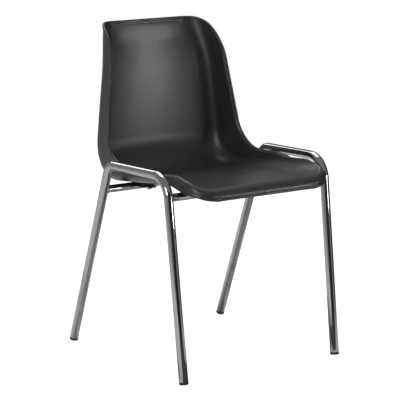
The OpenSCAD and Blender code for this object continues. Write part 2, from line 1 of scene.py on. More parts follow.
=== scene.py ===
"""Looks of a stacking shell chair: a black moulded shell on a chromed tube frame.

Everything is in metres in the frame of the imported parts: +Z up, the sitter faces -Y, the origin
on the floor under the middle of the chair. Surfaces are worked out as whole numpy arrays.
"""

import math
from types import SimpleNamespace

import bpy
import numpy as np
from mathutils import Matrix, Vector


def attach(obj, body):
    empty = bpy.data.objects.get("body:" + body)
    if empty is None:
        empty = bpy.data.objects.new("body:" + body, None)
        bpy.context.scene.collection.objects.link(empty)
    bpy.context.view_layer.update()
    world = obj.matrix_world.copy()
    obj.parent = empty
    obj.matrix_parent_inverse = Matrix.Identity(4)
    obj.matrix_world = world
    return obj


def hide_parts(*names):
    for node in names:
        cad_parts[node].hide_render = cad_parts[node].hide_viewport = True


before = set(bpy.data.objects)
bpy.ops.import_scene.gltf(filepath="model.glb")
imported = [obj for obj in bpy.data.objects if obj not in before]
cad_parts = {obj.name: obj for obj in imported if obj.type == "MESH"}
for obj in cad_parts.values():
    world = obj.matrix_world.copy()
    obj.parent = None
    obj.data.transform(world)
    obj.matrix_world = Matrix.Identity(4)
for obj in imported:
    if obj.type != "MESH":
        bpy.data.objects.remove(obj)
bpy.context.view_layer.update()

MM = 0.001

# Camera of the photograph: place from the middle between the feet, direction in degrees, and
# focal length and width of the sensor in millimetres
CAMERA_PLACE = (-2.6903, -3.7961, 1.2962)
CAMERA_AZIMUTH = -35.2427
CAMERA_ELEVATION = 11.2394
CAMERA_LENS = 174.43
CAMERA_SENSOR = 36

# Shell: height of the pan at its front edge, and how far that is ahead of the feet's middle
SEAT_H = 452.5 * MM
SEAT_FRONT = 261.3 * MM
# Distance of the heel behind the front edge, and heights over the pan and lean behind the
# heel of the back's bend and of its top
HEEL_REACH = 473.3 * MM
BACK_BEND_H = 237.5 * MM
BACK_BEND_LEAN = 11 * MM
BACK_H = 336.5 * MM
BACK_TOP_LEAN = 21 * MM
# Wall, half widths of the seat's front, of the heel and of the back at the wings' bend, and
# how much the back narrows with height
WALL = 4.5 * MM
HALF_FRONT = 201 * MM
HALF_HEEL = 205 * MM
HALF_BACK = 167.5 * MM
BACK_TAPER = 0.14
FRONT_CORNER_R = 60 * MM
TOP_CORNER_R = 83 * MM
# Width of the top corners' rounding along the sheet
TOP_CORNER_W = 86 * MM
# How much of the front corners' rounding the whole section follows
CORNER_DRAW = 0.5
# Drop of the apron, lengths of the rim's roll there and at the sides, steepest slope of the
# sides, and radius with which they turn into the roll
APRON = 19.4 * MM
APRON_ROLL = 20 * MM
SIDE_ROLL = 8 * MM
SIDE_TURN = math.radians(84)
RISER_R = 3 * MM
# Bead round the edge, and distance of its middle outside the sheet's edge
BEAD_R = 4 * MM
BEAD_OUT = math.sqrt(BEAD_R ** 2 - WALL ** 2 / 4)
# The bead's round is carried this far onto the wall as a flat band
BAND_W = 4.3 * MM
# Round the wings and the top the last stretch turns outward: its width, lift and angle
LIP_W = 6 * MM
LIP_LIFT = 1.9 * MM
LIP_FADE = 45 * MM
LIP_TURN = math.radians(19)
# Share of the lip that is left out at the top corners, which start this far below the top
# and this far from the middle, each over a run
CORNER_CALM = 0.85
CALM_DROP = 95 * MM
CALM_HALF = 75 * MM
CALM_RUN = 40 * MM
# The lip is lifted in full over this half width of the top, and less over a run beside it
LIFT_HALF = 80 * MM
LIFT_RUN = 60 * MM
# The back's hollow across: depth each way from the plain sheet, and how far up the sides it ends
BACK_HOLLOW = 7 * MM
HOLLOW_FADE = 62 * MM
# It comes in from a share of the crest's length, over a further share, and fades below the top
HOLLOW_FROM = 0.5
HOLLOW_OVER = 0.13
HOLLOW_TOP_RUN = 95 * MM
# Least y of the bead's outward direction, so that it hangs down from the apron
LEAST_AHEAD = -0.3
# How far the bead reaches ahead of the front edge
SHELL_NOSE = 5.008 * MM
# Distance from the front edge up to which the sides have the whole apron, and its fading run
APRON_FULL = 82 * MM
APRON_FADE = 160 * MM
# Distances from the front edge between which the seat widens
WIDTH_AT = np.array([110, 282]) * MM
# Least length of the stretch of columns at the ridge
RIDGE_W = 4 * MM
# Radius between the pan or back and the side, at these shares of the crest's length
SIDE_R_AT = np.array([0, 0.12, 0.32, 0.5, 0.7, 1])
SIDE_R = np.array([91, 60, 46, 44, 42, 57]) * MM

# Rows in each stretch from the front to the top, how often their spacing is averaged, and
# columns in each part of a half section
SHELL_ROWS = (30, 24, 32, 24, 30)
ROW_PASSES = 60
SHELL_COLUMNS = (10, 24, 8, 10)
BEAD_STEPS = 9

# Tube frame: radii of the hoops and of the cross tubes, and their wall
TUBE_R = 11 * MM
CROSS_R = 9.5 * MM
TUBE_WALL = 1.5 * MM
# Distance from front to rear feet, how far the front feet stand in from the rail, how far the
# rail's rear stands out, and the gap between rail and shell
FOOT_SPREAD = 483.8 * MM
LEG_TUCK = 4.9 * MM
RAIL_SPLAY = 1 * MM
RAIL_GAP = 9.8 * MM
# The rail's corners, by their distance from the feet and height over the pan, and their bends
RAIL_FRONT_REACH = 60.5 * MM
RAIL_FRONT_H = 28.5 * MM
RAIL_REAR_REACH = 180.3 * MM
RAIL_REAR_H = 22 * MM
FRONT_BEND_R = 56 * MM
REAR_BEND_R = 33 * MM
# How far the cross tubes lie below the pan's height
FRONT_CROSS_DROP = 20.127 * MM
REAR_CROSS_DROP = 42.782 * MM
# How far a cross tube's end runs into the hoop
CROSS_SINK = 0.4 * MM
# A weld's reach on each tube, its bulge and ripples, and how deep its edges and its root lie
WELD_LEG = 3.4 * MM
WELD_BULGE = 0.9 * MM
WELD_RIPPLE = 0.12 * MM
WELD_LUMPS = 26
WELD_SINK = 0.15 * MM
WELD_ROOT = 0.6 * MM

# Fixings under the pan: distance from the middle, and from the cross tube's side to the screw
FIXING_X = 120 * MM
SCREW_REACH = 20 * MM
PLATE_T = 3 * MM
# Boss with the insert's bore, the bore's spare depth, and how far the boss runs into the wall
BOSS_R = 9.5 * MM
INSERT_R = 4.5 * MM
INSERT_L = 8 * MM
BORE_SPARE = 1 * MM
BOSS_ROOT = 1.5 * MM

# Glides: the black part that shows, its rounded edge, the plug and its play in the tube, and
# how much is flattened on the floor
FLANGE_T = 6 * MM
GLIDE_ROUND = 0.8 * MM
PLUG_L = 20 * MM
PLUG_PLAY = 0.15 * MM
GLIDE_FLAT = 1 * MM

# Radius at which a turned surface counts as closed in its middle
POLE_R = 0.0001 * MM
SIDES = ((-1, "left"), (1, "right"))

# The chair's whole depth is centred on the origin, so the feet stand a little behind it
REAR_LEAN = math.atan2(RAIL_REAR_REACH, SEAT_H + RAIL_REAR_H)
REAR_FOOT_END = (FOOT_SPREAD / 2 + TUBE_R * math.cos(REAR_LEAN)
                 - (TUBE_R * math.sin(REAR_LEAN) - GLIDE_FLAT) * math.tan(REAR_LEAN))
FEET_MID_Y = (SEAT_FRONT + SHELL_NOSE - REAR_FOOT_END) / 2

# The shell along its middle and along its side crest: y, z, rounding
FRONT_Y = FEET_MID_Y - SEAT_FRONT
HEEL_Y = FRONT_Y + HEEL_REACH
BACK_BEND_Z = SEAT_H + BACK_BEND_H
WING_BEND_Z = BACK_BEND_Z + 10 * MM
TOP_Z = SEAT_H + BACK_H
SPINE = [
    (FRONT_Y, SEAT_H, 0),
    (FRONT_Y + 142 * MM, SEAT_H - 6.5 * MM, 400 * MM),
    (HEEL_Y, SEAT_H - 42.5 * MM, 88 * MM),
    (HEEL_Y + BACK_BEND_LEAN, BACK_BEND_Z, 450 * MM),
    (HEEL_Y + BACK_BEND_LEAN + BACK_TOP_LEAN, TOP_Z, 0),
]
CREST = [
    (FRONT_Y, SEAT_H + 5.5 * MM, 0),
    (FRONT_Y + 94 * MM, SEAT_H + 24.5 * MM, 90 * MM),
    (FRONT_Y + 377 * MM, SEAT_H + 10.5 * MM, 91 * MM),
    (FRONT_Y + 410 * MM, WING_BEND_Z, 400 * MM),
    (FRONT_Y + 423 * MM, TOP_Z, 0),
]

# Where the rows round the heel start and end, on the middle line and on the crest, and the
# height where the top rows start
HEEL_ROWS_Y = (HEEL_Y - 106 * MM, FRONT_Y + 307 * MM)
HEEL_ROWS_Z = (SEAT_H + 52 * MM, SEAT_H + 87 * MM)
TOP_ROWS_Z = TOP_Z - 0.7 * TOP_CORNER_R


def unit(v):
    """Vectors along the last axis, each divided by its length."""
    return v / np.maximum(np.linalg.norm(v, axis=-1, keepdims=True), 1e-12)


def smooth_step(t):
    """3t^2 - 2t^3 on t held between 0 and 1."""
    t = np.clip(t, 0, 1)
    return t * t * (3 - 2 * t)


def grid_quads(rows, columns, first=0, wrap=False):
    """Quads of a grid of points stored row by row; wrap joins the last column to the first."""
    i = np.arange(rows - 1)[:, None]
    j = np.arange(columns if wrap else columns - 1)[None]
    m = (j + 1) % columns
    quads = np.stack([i * columns + j, i * columns + m,
                      (i + 1) * columns + m, (i + 1) * columns + j], -1)
    return quads.reshape(-1, 4) + first


def new_object(name, points, quads, material, smooth=True):
    """An object from arrays of points and quads."""
    mesh = bpy.data.meshes.new(name)
    mesh.vertices.add(points.size // 3)
    mesh.vertices.foreach_set("co", points.astype(np.float32).ravel())
    mesh.loops.add(quads.size)
    mesh.loops.foreach_set("vertex_index", quads.astype(np.int32).ravel())
    mesh.polygons.add(len(quads))
    mesh.polygons.foreach_set("loop_start", np.arange(0, quads.size, 4, dtype=np.int32))
    mesh.polygons.foreach_set("use_smooth", np.full(len(quads), smooth))
    mesh.update(calc_edges=True)
    mesh.materials.append(material)
    made = bpy.data.objects.new(name, mesh)
    bpy.context.scene.collection.objects.link(made)
    return made


def make_piece(name, surface, nodes, material):
    """A piece of the chair from its points and quads, in the place of CAD nodes if it has any."""
    piece = new_object(name, *surface, material)
    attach(piece, "root")
    if nodes:
        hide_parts(*nodes)


def on_side(points, quads, side):
    """A surface of the right side as it is, or its mirror image for the left, faces outward."""
    return points.reshape(-1, 3) * np.array([side, 1, 1]), quads if side > 0 else quads[:, ::-1]


def joined(parts):
    """Points and quads of several surfaces as one pair of arrays."""
    points, quads, first = [], [], 0
    for p, q in parts:
        points.append(p.reshape(-1, 3))
        quads.append(q + first)
        first += points[-1].shape[0]
    return np.concatenate(points), np.concatenate(quads)


# Shell

def rounded_line(corners, steps=24):
    """Points of a polyline whose inner corners are replaced by arcs of the given radii."""
    flat = [np.array(c[:2]) for c in corners]
    points = [flat[0][None]]
    for before, at, after, corner in zip(flat, flat[1:], flat[2:], corners[1:]):
        a, b, r = unit(before - at), unit(after - at), corner[2]
        half = math.acos(float(a @ b)) / 2
        centre = at + unit(a + b) * r / math.sin(half)
        start = at + a * r / math.tan(half) - centre
        end = at + b * r / math.tan(half) - centre
        first = math.atan2(start[1], start[0])
        sweep = (math.atan2(end[1], end[0]) - first + math.pi) % (2 * math.pi) - math.pi
        w = first + sweep * np.linspace(0, 1, steps + 1)
        points.append(centre + r * np.stack([np.cos(w), np.sin(w)], 1))
    points.append(flat[-1][None])
    return np.concatenate(points)


class Line:
    """A polyline in y and z, read by its length."""

    def __init__(self, corners):
        self.points = rounded_line(corners)
        steps = np.linalg.norm(np.diff(self.points, axis=0), axis=1)
        self.at_length = np.concatenate([[0], np.cumsum(steps)])
        self.length = self.at_length[-1]

    def along(self, s):
        """Points at lengths s."""
        y = np.interp(s, self.at_length, self.points[:, 0])
        z = np.interp(s, self.at_length, self.points[:, 1])
        return np.stack([y, z], -1)

    def crossing(self, axis, value, last=False):
        """Length at which the line first or last passes a value of y (axis 0) or z (axis 1)."""
        d = self.points[:, axis] - value
        k = np.flatnonzero((d[:-1] * d[1:] <= 0) & (d[:-1] != d[1:]))[-1 if last else 0]
        part = d[k] / (d[k] - d[k + 1])
        return self.at_length[k] + part * (self.at_length[k + 1] - self.at_length[k])


def eased(v, passes, keep):
    """Rows averaged 1:2:1 with their neighbours, with keep rows untouched at both ends."""
    v = v.copy()
    n = len(v)
    for _ in range(passes):
        neighbours = v[keep - 1:n - keep - 1] + v[keep + 1:n - keep + 1]
        v[keep:n - keep] = (2 * v[keep:n - keep] + neighbours) / 4
    return v


def row_stops(line, heel_y, heel_z):
    """Lengths on a line where stretches of rows meet: front, corner, heel, back, corner, top."""
    return [0, line.crossing(0, FRONT_Y + FRONT_CORNER_R), line.crossing(0, heel_y),
            line.crossing(1, heel_z, last=True), line.crossing(1, TOP_ROWS_Z, last=True), line.length]


def matched_rows(spine, crest):
    """Lengths on the middle line and on the crest that share a row, closer near both ends."""
    stops = np.stack([row_stops(line, y, z)
                      for line, y, z in zip((spine, crest), HEEL_ROWS_Y, HEEL_ROWS_Z)], 1)
    rows = []
    last = len(SHELL_ROWS) - 1
    for k, n in enumerate(SHELL_ROWS):
        t = np.arange(n + (k == last)) / n
        if k == 0:
            t = 1 - np.cos(t * np.pi / 2)
        if k == last:
            t = np.sin(t * np.pi / 2)
        rows.append(stops[k] + (stops[k + 1] - stops[k]) * t[:, None])
    return eased(np.concatenate(rows), ROW_PASSES, SHELL_ROWS[0] // 2)


def corner_inset(d, r):
    """How far a plan corner of radius r draws the outline in, at distance d before its end."""
    return np.where(d < r, r - np.sqrt(np.maximum(r * r - (r - d) ** 2, 0)), 0)


def back_hollow(s, flat, share, z):
    """How far the back is moved to the sitter at length s from the middle and height z.

    Across, with u = s / flat half width: D (2 u^2 - 1) up to u = 1, which is close to an arc,
    and from there a cubic that starts with the same slope and ends level. It comes in round
    the heel, by the share of the crest's length, and goes out towards the top.
    """
    u = s / flat
    t = np.clip((s - flat) / HOLLOW_FADE, 0, 1)
    slope = 4 * HOLLOW_FADE / flat
    outside = (2 * t ** 3 - 3 * t ** 2 + 1) + slope * (t ** 3 - 2 * t ** 2 + t)
    rise = smooth_step((share - HOLLOW_FROM) / HOLLOW_OVER)
    fall = smooth_step((TOP_Z - z) / HOLLOW_TOP_RUN)
    return BACK_HOLLOW * np.where(u < 1, 2 * u * u - 1, outside) * rise * fall


def halved(low, high, is_over, steps=30):
    """The value between low and high at which is_over turns true, by halving the range."""
    for _ in range(steps):
        middle = (low + high) / 2
        over = is_over(middle)
        low, high = np.where(over, low, middle), np.where(over, middle, high)
    return (low + high) / 2


class HalfSections:
    """Half sections across the shell, one for each row, read by their length from the middle.

    A section runs flat, then up an arc of radius r to the slope t and on along a straight.
    Where the apron is (full = 1) it turns back to level by an arc of radius RISER_R before
    its last stretch; elsewhere the last stretch keeps more of the slope: e = t (1 - full).
    """

    def __init__(self, height, width, r, full):
        self.r, self.full = r, full
        flat = 0 * height
        self.t = t = halved(flat, flat + SIDE_TURN, lambda slope: self.rise_to(slope) > height)
        self.e = e = self.end_slope(t)
        self.arc = r * t
        self.straight = np.maximum(height - self.rise_to(t), 0) / np.sin(SIDE_TURN)
        self.riser = RISER_R * (t - e)
        self.flat = width - (r * np.sin(t) + self.straight * np.cos(SIDE_TURN)
                             + RISER_R * (np.sin(t) - np.sin(e)) + SIDE_ROLL * np.cos(e))
        self.length = self.flat + self.arc + self.straight + self.riser + SIDE_ROLL

    def end_slope(self, t):
        """Slope of the last stretch."""
        return t * (1 - self.full)

    def rise_to(self, t):
        """Rise of a whole section that turns up to the slope t and has no straight."""
        e = self.end_slope(t)
        return (self.r * (1 - np.cos(t)) + RISER_R * (np.cos(e) - np.cos(t))
                + SIDE_ROLL * np.sin(e))

    def rows(self, index):
        """The same sections in another order."""
        other = HalfSections.__new__(HalfSections)
        for name, value in vars(self).items():
            setattr(other, name, value[index])
        return other

    def at(self, s):
        """Distance across, rise and slope at lengths s, an array of rows by columns."""
        r, t, e = self.r[:, None], self.t[:, None], self.e[:, None]
        flat, arc, straight, riser = (
            v[:, None] for v in (self.flat, self.arc, self.straight, self.riser))
        a = np.clip(s - flat, 0, arc) / r
        b = np.clip(s - flat - arc, 0, straight)
        c = t - np.clip(s - flat - arc - straight, 0, riser) / RISER_R
        d = np.maximum(s - flat - arc - straight - riser, 0)
        across = (np.minimum(s, flat) + r * np.sin(a) + b * np.cos(t)
                  + RISER_R * (np.sin(t) - np.sin(c)) + d * np.cos(e))
        rise = (r * (1 - np.cos(a)) + b * np.sin(t)
                + RISER_R * (np.cos(c) - np.cos(t)) + d * np.sin(e))
        return across, rise, np.where(s < flat + arc, a, c)


def section_lengths(sections, edge, inset, at_front):
    """Lengths of the columns: even in the flat and the side, close in the ridge and at the edge.

    Where a rounded corner cuts a section off, the stretches near the edge move in with it
    and the flat and the side are drawn together. The front corners are cut in plan, at the
    distance edge from the middle, and the top ones along the sheet, by inset.
    """
    flat_n, side_n, turn_n, rim_n = SHELL_COLUMNS
    whole = sections.length
    at_edge = halved(0 * whole, whole, lambda s: sections.at(s[:, None])[0][:, 0] > edge)
    cut = np.where(at_front, at_edge, whole - inset)
    spare = np.maximum(RIDGE_W - sections.riser, 0) / 2
    turn = sections.riser + 2 * spare
    roll = SIDE_ROLL - spare
    start = cut - turn - roll
    flat = sections.flat * start / (whole - turn - roll)
    cut, start, flat, turn, roll = (v[:, None] for v in (cut, start, flat, turn, roll))
    flat_share, side_share, turn_share = (np.arange(n)[None] / n for n in (flat_n, side_n, turn_n))
    roll_share = 1 - np.sin(np.pi / 2 * np.linspace(0, 1, rim_n + 1))[None]
    return np.concatenate([flat * flat_share, flat + (start - flat) * side_share,
                           start + turn * turn_share, cut - roll * roll_share], 1)


def rolled_rim(across, w, end, corner_r, sections):
    """How far the rim is rolled over, and the parts of its normal.

    The roll drops by depth (1 - sqrt(1 - q^2)), where q runs with the distance to the plan
    outline from 0 where the roll starts to its full value at the edge: 1 at the apron, less
    where the apron fades out, and 0 round the wings and the top.
    """
    corner_r = corner_r[:, None]
    side = w[:, None] - across
    end = end[:, None] + 0 * side
    inside = (side < corner_r) & (end < corner_r)
    radial = corner_r - np.hypot(corner_r - side, corner_r - end)
    d = np.where(inside, radial, np.minimum(side, end))
    angle = np.arctan2(np.maximum(corner_r - end, 1e-6), np.maximum(corner_r - side, 1e-6))
    angle = np.where(inside, angle, np.where(end < side, np.pi / 2, 0))
    k = angle / (np.pi / 2)
    reach = (SIDE_ROLL * np.cos(sections.e))[:, None] * (1 - k) + APRON_ROLL * k
    most = np.sin(np.pi / 2 * sections.full)[:, None]
    q = most * np.clip(1 - np.maximum(d, 0) / reach, 0, 1)
    level = np.sqrt(1 - q * q)
    out = q * most * APRON / reach
    return APRON * (1 - level), level, out * np.cos(angle), -out * np.sin(angle)


def shell_rows():
    """The rows' starts on the middle line, their directions up to the crest, and their sizes.

    end is a row's distance from the front edge or from the top, whichever it belongs to, share
    its part of the crest's length, width the shell's half width there, and apron the part
    of the apron's roll that it has.
    """
    spine, crest = Line(SPINE), Line(CREST)
    lengths = matched_rows(spine, crest)
    start, top = spine.along(lengths[:, 0]), crest.along(lengths[:, 1])
    share = lengths[:, 1] / crest.length
    at_front = share < 0.5
    from_front = top[:, 0] - FRONT_Y
    seat_width = np.interp(from_front, WIDTH_AT, [HALF_FRONT, HALF_HEEL])
    back_width = HALF_BACK + BACK_TAPER * (WING_BEND_Z - top[:, 1])
    return SimpleNamespace(
        start=start, up=unit(top - start), height=np.linalg.norm(top - start, axis=1),
        share=share, at_front=at_front,
        end=np.where(at_front, from_front, crest.length - lengths[:, 1]),
        width=np.minimum(seat_width, back_width),
        apron=smooth_step((APRON_FULL + APRON_FADE - from_front) / APRON_FADE))


def placed(row, index, across, rise):
    """Points start + across * X + rise * up, for the rows of an index."""
    start, up = row.start[index], row.up[index]
    return np.stack([across, start[:, 0:1] + up[:, 0:1] * rise, start[:, 1:2] + up[:, 1:2] * rise], -1)


def step_along(row, sections, lengths):
    """Step from the row before to the row after, at the same share of their own lengths."""
    n = np.arange(len(lengths))
    ends = []
    for i in (np.maximum(n - 1, 0), np.minimum(n + 1, n[-1])):
        same_share = lengths * (sections.length[i] / sections.length)[:, None]
        across, rise, _ = sections.rows(i).at(same_share)
        ends.append(placed(row, i, across, rise))
    return ends[1] - ends[0]


def both_halves(half, mirror):
    """A half grid after its own mirror image, with the middle column once."""
    return np.concatenate([half[:, :0:-1] * mirror, half], 1)


def shell_sheet():
    """Middle surface of the shell's wall, its unit normals, and its part without an apron.

    Row by row, a point is middle line + across * X + rise * up, where up points from the
    middle line to the side crest. The normal of the plain surface is the cross product of
    the section's own direction and the step to the same share of the next section. The rim's
    roll and the back's hollow are added to that.
    """
    row = shell_rows()
    corner_r = np.where(row.at_front, FRONT_CORNER_R, TOP_CORNER_R)
    stretch = np.where(row.at_front, 1, TOP_CORNER_W / TOP_CORNER_R)
    inset = corner_inset(row.end, corner_r) * stretch
    drawn = np.where(row.at_front, CORNER_DRAW * inset, 0)
    side_r = np.interp(row.share, SIDE_R_AT, SIDE_R)
    sections = HalfSections(row.height, row.width - drawn, side_r, row.apron)
    lengths = section_lengths(sections, row.width - inset, inset, row.at_front)
    across, rise, slope = sections.at(lengths)
    sideways = np.stack([np.cos(slope), row.up[:, 0:1] * np.sin(slope),
                         row.up[:, 1:2] * np.sin(slope)], -1)
    plain = unit(np.cross(sideways, step_along(row, sections, lengths)))
    drop, level, side, ahead = rolled_rim(across, row.width, row.end, corner_r, sections)
    normal = unit(plain * level[..., None] + sideways * side[..., None]
                  + np.cross(plain, sideways) * ahead[..., None])
    half = placed(row, slice(None), across, rise - drop)
    hollow = back_hollow(lengths, sections.flat[:, None], row.share[:, None], half[..., 2])
    half = half + normal * hollow[..., None]
    plain_part = np.repeat(1 - row.apron[:, None], half.shape[1], 1)[..., None]
    mirror = np.array([-1, 1, 1])
    return both_halves(half, mirror), both_halves(normal, mirror), both_halves(plain_part, 1)


def edge_indices(rows, columns):
    """Grid indices round a sheet's edge, anticlockwise from above."""
    i, j = np.arange(1, rows), np.arange(columns)
    return np.concatenate([j, i * columns + columns - 1,
                           (rows - 1) * columns + j[-2::-1], i[-2::-1] * columns])


def nearest_distance(points, others, block=2000):
    """Distance of each point to the nearest of the others."""
    parts = [np.sqrt(np.min(np.sum((points[k:k + block, None] - others[None]) ** 2, -1), 1))
             for k in range(0, len(points), block)]
    return np.concatenate(parts)


def turned_lip(d, lift):
    """Offset along the normal at distance d from the edge: a low rise, then a turn outward.

    The sheet rises by lift over LIP_FADE towards the lip's start at LIP_W, from where it
    falls in a straight line of the lip's own slope.
    """
    rise = lift * smooth_step((LIP_W + LIP_FADE - d) / LIP_FADE)
    return rise - np.maximum(LIP_W - d, 0) * math.tan(LIP_TURN)


def calmed(plain_part, sheet):
    """The lip's part of each point, less at the top corners, where the rim turns tightly."""
    high = smooth_step((sheet[:, 2:] - TOP_Z + CALM_DROP) / CALM_RUN)
    wide = smooth_step((np.abs(sheet[:, :1]) - CALM_HALF) / CALM_RUN)
    return plain_part * (1 - CORNER_CALM * high * wide)


def banded_half_wall(d):
    """Half the wall at distance d from the edge: the bead's round, carried inward by BAND_W."""
    beyond = np.maximum(d - BAND_W + BEAD_OUT, 0)
    return np.sqrt(np.maximum(BEAD_R ** 2 - beyond ** 2, (WALL / 2) ** 2))


def bead(rim, normal, plain_part, half_wall):
    """The bead's rings at the points of the rim, from the wall's upper face to its lower one.

    A ring lies in the plane of the sheet's outward direction O and its normal N, both turned
    by the lip's angle: rim + O (bead_out + bead_r cos a) + N bead_r sin a.
    """
    outward = unit(np.cross(np.roll(rim, -1, 0) - np.roll(rim, 1, 0), normal))
    outward = unit(np.maximum(outward, [-1, LEAST_AHEAD, -1]))
    turn = LIP_TURN * plain_part
    turned_out = outward * np.cos(turn) - normal * np.sin(turn)
    turned_up = normal * np.cos(turn) + outward * np.sin(turn)
    start = np.pi - np.arcsin(half_wall / BEAD_R)
    a = start * np.linspace(1, -1, BEAD_STEPS + 2)[None, 1:-1]
    rings = (rim[:, None] + turned_out[:, None] * (BEAD_OUT + BEAD_R * np.cos(a))[..., None]
             + turned_up[:, None] * (BEAD_R * np.sin(a))[..., None])
    return rings.reshape(-1, 3)


def bead_quads(edge, count):
    """Quads from the upper face's edge over the bead's rings to the lower face's edge."""
    rings = 2 * count + np.arange(len(edge) * BEAD_STEPS).reshape(-1, BEAD_STEPS)
    strip = np.concatenate([edge[:, None], rings, count + edge[:, None]], 1)
    after = np.roll(strip, -1, 0)
    return np.stack([strip[:, :-1], strip[:, 1:], after[:, 1:], after[:, :-1]], -1).reshape(-1, 4)


def shell_body():
    """Both faces of the shell's wall and the bead that joins them round the edge.

    Each face is the middle surface, with its lip, moved half a wall along its normal.
    """
    sheet, normal, plain_part = shell_sheet()
    rows, columns = sheet.shape[:2]
    count = rows * columns
    edge = edge_indices(rows, columns)
    sheet, normal, plain_part = (g.reshape(count, -1) for g in (sheet, normal, plain_part))
    d = nearest_distance(sheet, sheet[edge])[:, None]
    plain_part = calmed(plain_part, sheet)
    at_middle = 1 - smooth_step((np.abs(sheet[:, :1]) - LIFT_HALF) / LIFT_RUN)
    sheet = sheet + normal * turned_lip(d, LIP_LIFT * at_middle) * plain_part
    half_wall = WALL / 2 + (banded_half_wall(d) - WALL / 2) * plain_part
    rings = bead(sheet[edge], normal[edge], plain_part[edge], half_wall[edge])
    points = np.concatenate([sheet + normal * half_wall, sheet - normal * half_wall, rings])
    quads = np.concatenate([grid_quads(rows, columns), grid_quads(rows, columns, count)[:, ::-1],
                            bead_quads(edge, count)])
    return points, quads


def revolve(profile, centre, axis=(0, 0, 1), steps=48):
    """Profile points (radius, height) turned about an axis through centre.

    A point is centre + radius (cos w X + sin w Y) + height * axis, where X and Y are square to
    the axis.
    """
    axis = unit(np.array(axis, float))
    ex = unit(np.cross([0, 1, 0] if abs(axis[1]) < 0.9 else [1, 0, 0], axis))
    ey = np.cross(axis, ex)
    w = 2 * np.pi * np.arange(steps) / steps
    round_dir = np.cos(w)[:, None] * ex + np.sin(w)[:, None] * ey
    profile = np.array(profile, float)
    points = (np.array(centre) + profile[:, None, :1] * round_dir[None]
              + profile[:, None, 1:] * axis)
    return points, grid_quads(len(profile), steps, wrap=True)


# Tube frame

def hoop_plane():
    """Corners of the right hoop's middle line and the unit normal of their plane."""
    x = HALF_HEEL + BEAD_R + RAIL_GAP + TUBE_R
    front_y, rear_y = FEET_MID_Y - FOOT_SPREAD / 2, FEET_MID_Y + FOOT_SPREAD / 2
    front_foot = np.array([x - LEG_TUCK, front_y, 0])
    front_top = np.array([x, front_y + RAIL_FRONT_REACH, SEAT_H + RAIL_FRONT_H])
    rear_top = np.array([x + RAIL_SPLAY, rear_y - RAIL_REAR_REACH, SEAT_H + RAIL_REAR_H])
    n = unit(np.cross(front_top - front_foot, rear_top - front_foot))
    rear_foot = np.array([front_foot[0] - n[1] * FOOT_SPREAD / n[0], rear_y, 0])
    return np.array([front_foot, front_top, rear_top, rear_foot]), n


HOOP, HOOP_NORMAL = hoop_plane()


def on_leg(foot, top, z):
    """Point of a leg's middle line at height z."""
    return foot + (top - foot) * z / top[2]


FRONT_CROSS = on_leg(HOOP[0], HOOP[1], SEAT_H - FRONT_CROSS_DROP)
REAR_CROSS = on_leg(HOOP[3], HOOP[2], SEAT_H - REAR_CROSS_DROP)
# Each leg's end of the chair, its point on the cross tube's line, its foot and its top
LEGS = (("front", FRONT_CROSS, HOOP[0], HOOP[1]), ("rear", REAR_CROSS, HOOP[3], HOOP[2]))


def leg_end(foot, top):
    """Where the leg's middle line meets the glide's lower face, and the leg's direction."""
    u = unit(top - foot)
    return foot + u * (TUBE_R * math.sqrt(1 - u[2] ** 2) - GLIDE_FLAT) / u[2], u


def hoop_path(arc_steps=28):
    """Middle line of the right hoop: straights joined by arcs, as points and directions.

    An arc is centre + r (cos w E - sin w A), E the way from its centre to its start and A the
    way back along the straight before it.
    """
    bends = [(HOOP[0], HOOP[1], HOOP[2], FRONT_BEND_R), (HOOP[1], HOOP[2], HOOP[3], REAR_BEND_R)]
    start, u = leg_end(HOOP[0], HOOP[1])
    points, directions = [(start + u * FLANGE_T)[None]], [u[None]]
    for before, at, after, r in bends:
        a, b = unit(before - at), unit(after - at)
        half = math.acos(float(a @ b)) / 2
        centre = at + unit(a + b) * r / math.sin(half)
        e = unit(at + a * r / math.tan(half) - centre)
        w = ((math.pi - 2 * half) * np.linspace(0, 1, arc_steps + 1))[:, None]
        points.append(centre + r * (np.cos(w) * e - np.sin(w) * a))
        directions.append(-np.sin(w) * e - np.cos(w) * a)
    end, u = leg_end(HOOP[3], HOOP[2])
    points.append((end + u * FLANGE_T)[None])
    directions.append(-u[None])
    return np.concatenate(points), np.concatenate(directions)


def side_hoop(side, steps=48):
    """A closed tube along the hoop's middle line.

    Rings of points are centre + r (cos w * N + sin w * N x T), N the normal of the hoop's
    plane, T the direction along the tube; they run out on the outer face and back in the bore.
    """
    centres, directions = hoop_path()
    across = np.cross(HOOP_NORMAL, directions)
    w = 2 * np.pi * np.arange(steps) / steps
    ring = np.cos(w)[None, :, None] * HOOP_NORMAL + np.sin(w)[None, :, None] * across[:, None]
    bore_r = TUBE_R - TUBE_WALL
    outer = centres[:, None] + TUBE_R * ring
    inner = (centres[:, None] + bore_r * ring)[::-1]
    points = np.concatenate([outer, inner, outer[:1]])
    return on_side(points, grid_quads(len(points), steps, wrap=True), side)


def saddle(cross, foot, top, r, lift, steps):
    """Where a bar of radius r along X through cross meets a bar of radius TUBE_R + lift.

    For the angle w round the bar the point is cross + x X + r (cos w Y + sin w Z), with the
    smaller root x of the quadratic that sets its distance from the leg's middle line.
    """
    u = unit(top - foot)
    w = 2 * np.pi * np.arange(steps) / steps
    base = cross - foot + np.stack([0 * w, r * np.cos(w), r * np.sin(w)], -1)
    b = base @ u
    a2 = 1 - u[0] ** 2
    a1 = 2 * (base[:, 0] - b * u[0])
    a0 = np.sum(base * base, 1) - b * b - (TUBE_R + lift) ** 2
    x = (-a1 - np.sqrt(a1 * a1 - 4 * a2 * a0)) / (2 * a2)
    return foot + base + x[:, None] * np.array([1, 0, 0])


